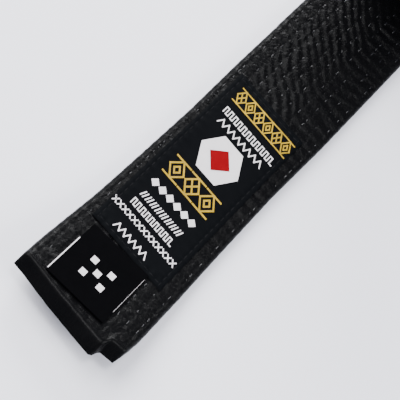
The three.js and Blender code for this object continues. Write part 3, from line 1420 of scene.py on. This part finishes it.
@dataclass(frozen=True)
class SoftBox:
    """A square soft light that faces the labelled end."""

    name: str
    place: tuple[float, float, float]
    size: float
    watts: float

    def hang(self, aim: Vector) -> None:
        """Hang the light so that it faces a point.

        Args:
            aim: the point.
        """
        data = bpy.data.lights.new(self.name, "AREA")
        data.size = self.size
        data.energy = self.watts
        lamp = bpy.data.objects.new(self.name, data)
        lamp.location = self.place
        lamp.rotation_mode = "QUATERNION"
        lamp.rotation_quaternion = (Vector(self.place) - aim).to_track_quat("Z", "Y")
        bpy.context.scene.collection.objects.link(lamp)


SOFT_BOXES = (
    SoftBox("key", (-0.06, 0.72, 0.84), 0.9, 25),
    SoftBox("far_end", (0.68, 0.44, 0.44), 0.45, 18),
    SoftBox("overhead", (-0.15, 0.0, 1.10), 0.22, 6),
    SoftBox("near_side", (-0.15, -0.42, 0.30), 0.25, 2.5),
)


@dataclass
class Studio:
    """Pale floor, four soft boxes in grey surroundings, and the camera."""

    tilt: float = math.radians(26.0)
    roll: float = math.radians(45.0)
    reach: float = 0.3401  # from the lens to where its axis meets the belt
    lens_mm: float = 98.1
    sensor_mm: float = 36.0
    aim: Vector = field(default_factory=lambda: Vector((-0.1563, -0.0034, 0.0044)))
    floor_colour: str = "e6e6ee"
    air_colour: str = "dfe3ee"
    air_strength: float = 0.84

    def floor(self) -> None:
        """Lay the floor, matt like painted board."""
        sheet = bmesh.new()
        bmesh.ops.create_grid(sheet, x_segments=2, y_segments=2, size=3.0)
        material, _, shader = start_material("floor")
        shader.inputs["Base Color"].default_value = linear(self.floor_colour)
        shader.inputs["Roughness"].default_value = 0.9
        new_object("floor", finished_mesh("floor", sheet), material)

    def light(self) -> None:
        """Set the soft boxes and the grey surroundings."""
        for soft_box in SOFT_BOXES:
            soft_box.hang(self.aim)
        world = bpy.data.worlds.new("studio")
        world.use_nodes = True
        background = world.node_tree.nodes["Background"]
        background.inputs["Color"].default_value = linear(self.air_colour)
        background.inputs["Strength"].default_value = self.air_strength
        bpy.context.scene.world = world

    def camera(self) -> None:
        """Look down on the labelled end, with the belt running to the upper right."""
        forward = Vector((math.sin(self.tilt), 0, -math.cos(self.tilt)))
        away = Vector((math.cos(self.tilt), 0, math.sin(self.tilt)))
        sideways = Vector((0, -1, 0))
        up = away * math.cos(self.roll) - sideways * math.sin(self.roll)
        right = away * math.sin(self.roll) + sideways * math.cos(self.roll)
        data = bpy.data.cameras.new("camera")
        data.lens = self.lens_mm
        data.sensor_width = self.sensor_mm
        camera = bpy.data.objects.new("camera", data)
        camera.rotation_mode = "QUATERNION"
        camera.rotation_quaternion = Matrix((right, up, -forward)).transposed().to_quaternion()
        camera.location = self.aim - forward * self.reach
        bpy.context.scene.collection.objects.link(camera)
        bpy.context.scene.camera = camera

    def build(self) -> None:
        """Set the camera, the floor and the lights."""
        self.camera()
        self.floor()
        self.light()


# ---- The belt -----------------------------------------------------------------------------

TAIL_BODIES = ("labelled_end", "first_bend", "second_bend", "roll")
BEND_LINES = (110 * MM, 145 * MM, 180 * MM)
ROLL_START = 200 * MM
OUTER_TURN_END = 640 * MM


@dataclass
class Belt:
    """Builds every piece of the belt, and ties the pieces of the roll, the label and the tag to
    their bodies.
    """

    line: BeltLine = field(default_factory=BeltLine)
    quilting: Quilting = field(default_factory=Quilting)
    cover_width: float = 0.087  # of the satin laid flat
    tail_step: float = 0.5 * MM  # between the columns of the tail's cover

    def __post_init__(self) -> None:
        """Share one cover, one sewing and one label among the pieces."""
        self.cover = SatinCover(self.line, self.quilting)
        thickness = self.cover.thickness
        self.sewing = StitchSewing(self.line, self.quilting, thickness)
        self.label = WovenLabel(self.line, thickness)
        self.tag = SizeTag(self.line, thickness)
        self.core = CottonCore(self.line, thickness)

    def stretches(self) -> list[Stretch]:
        """List the stretches of the tail, each over one bend line.

        Returns:
            The stretches, from the labelled end to the roll.
        """
        first, second, third = BEND_LINES
        ends = (0.0, (first + second) / 2, (second + third) / 2, ROLL_START)
        nodes = (
            ("satin_cover_labelled_end", "folded_hem_labelled_end", "closing_stitch_labelled_end"),
            ("satin_cover_first_bend",),
            ("satin_cover_second_bend", "satin_cover_flat"),
        )
        return [
            Stretch(
                place,
                ends[i],
                ends[i + 1],
                self.tail_step,
                TAIL_BODIES[i : i + 2],
                nodes[i],
                BEND_LINES[i],
            )
            for i, place in enumerate(TAIL_BODIES[: len(BEND_LINES)])
        ]

    def attach(self, piece: bpy.types.Object, stretch: Stretch) -> None:
        """Bake a piece in place where it has a bend line, or let it ride with its body where it has
        none.

        Args:
            piece: the piece.
            stretch: the length of belt that it belongs to.
        """
        if stretch.hinge is None:
            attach(piece, stretch.bodies[0])
            return
        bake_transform(piece)

    def cover_stretch(
        self, stretch: Stretch, satin: bpy.types.Material
    ) -> bpy.types.Object:
        """Make the cover of one stretch.

        Args:
            stretch: the length of belt.
            satin: its cloth.

        Returns:
            The cover.
        """
        piece = self.cover.build(stretch, satin)
        self.attach(piece, stretch)
        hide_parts(*stretch.nodes)
        return piece

    def sew_stretch(self, stretch: Stretch, thread: bpy.types.Material) -> bpy.types.Object:
        """Make the stitches of one stretch.

        Args:
            stretch: the length of belt.
            thread: what it is sewn with.

        Returns:
            The stitches.
        """
        stitches = self.sewing.build(stretch, self.label, thread)
        self.attach(stitches, stretch)
        return stitches

    def make_tail(
        self, satin: bpy.types.Material, thread: bpy.types.Material
    ) -> list[bpy.types.Object]:
        """Make the cover and the stitches of the tail.

        Args:
            satin: the cover's cloth.
            thread: what it is sewn with.

        Returns:
            The pieces.
        """
        pieces = []
        for stretch in self.stretches():
            pieces.append(self.cover_stretch(stretch, satin))
            stitches = self.sew_stretch(stretch, thread)
            nodes = [f"quilting_thread_{stretch.place}"]
            if stretch.place == "second_bend":
                nodes.append("quilting_thread_flat")
            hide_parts(*nodes)
            pieces.append(stitches)
        return pieces

    def roll_up(
        self, satin: bpy.types.Material, thread: bpy.types.Material
    ) -> list[bpy.types.Object]:
        """Make the roll: a fine outer turn and plainer inner turns.

        Args:
            satin: the cover's cloth.
            thread: what it is sewn with.

        Returns:
            The pieces.
        """
        nodes = ("satin_cover_roll", "folded_hem_inner_end", "closing_stitch_inner_end")
        split, end = OUTER_TURN_END, self.line.length
        outer = Stretch(
            "roll_outer_turn", ROLL_START, split, 1.1 * MM, ("roll",), nodes, fine=0.9 * MM
        )
        inner = Stretch("roll_inner_turns", split, end, 3 * MM, ("roll",), nodes, fine=2.2 * MM)
        covers = [self.cover_stretch(stretch, satin) for stretch in (outer, inner)]
        return [*covers, self.sew_stretch(outer, thread)]

    def fill_core(self, cotton: bpy.types.Material) -> list[bpy.types.Object]:
        """Put the four plies in every stretch, bent with it.

        Args:
            cotton: their cloth.

        Returns:
            The plies.
        """
        pieces = []
        roll = Stretch("roll", ROLL_START, self.line.length, self.core.step, ("roll",))
        for stretch in (*self.stretches(), roll):
            for index in range(self.core.plies):
                piece = self.core.ply(stretch, index, cotton)
                self.attach(piece, stretch)
                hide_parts(f"core_ply_{index + 1}_{stretch.place}")
                pieces.append(piece)
        return pieces

    def add_label(self, white: bpy.types.Material) -> list[bpy.types.Object]:
        """Make the label with its motifs and stitches.

        Args:
            white: the yarn of its white motifs.

        Returns:
            The pieces.
        """
        label = self.label
        ground = label.sheet(LABEL_GROUND.build())
        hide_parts("woven_label")
        # The label's stitches take the darker copy of the thread, whose extra darkness is painted
        # shade.
        stitches = label.edge_stitches(self.sewing, SHADED_LABEL_THREAD.build())
        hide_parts("label_stitching")
        motifs = [
            label.rows("label_white_rows", WHITE_ROWS, white),
            label.rows("label_gold_rows", GOLD_ROWS, GOLD_WEFT.build()),
            label.emblem("label_hexagon", 8.6 * MM, 6, 0.05 * MM, white),
            label.emblem("label_lozenge", 4.6 * MM, 4, 0.15 * MM, RED_WEFT.build()),
        ]
        pieces = [ground, stitches, *motifs]
        for piece in pieces:
            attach(piece, "labelled_end")
        return pieces

    def add_tag(self, white: bpy.types.Material) -> list[bpy.types.Object]:
        """Make the size tag, which flips about the label's lower edge.

        Args:
            white: the yarn of its pips and selvedges.

        Returns:
            The pieces.
        """
        tag = self.tag
        ribbon = tag.ribbon(RIBBON.build())
        pieces = [ribbon, tag.pips(white), tag.selvedges(white)]
        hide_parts("size_tag")
        for piece in pieces:
            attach(piece, "size_tag")
        return pieces

    def build(self) -> list[bpy.types.Object]:
        """Make the whole belt.

        Returns:
            Every piece, in the order of making.
        """
        satin, thread, white = BlackSatin().build(), SEWING_THREAD.build(), WHITE_WEFT.build()
        return [
            *self.make_tail(satin, thread),
            *self.roll_up(satin, thread),
            *self.fill_core(COTTON.build()),
            *self.add_label(white),
            *self.add_tag(white),
        ]


def main() -> None:
    """Build the studio and the belt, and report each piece."""
    logging.basicConfig(level=logging.INFO, format="%(name)s: %(message)s")
    Studio().build()
    for piece in Belt().build():
        LOG.info("%s: %d faces", piece.name, len(piece.data.polygons))


if __name__ == "__main__":
    main()
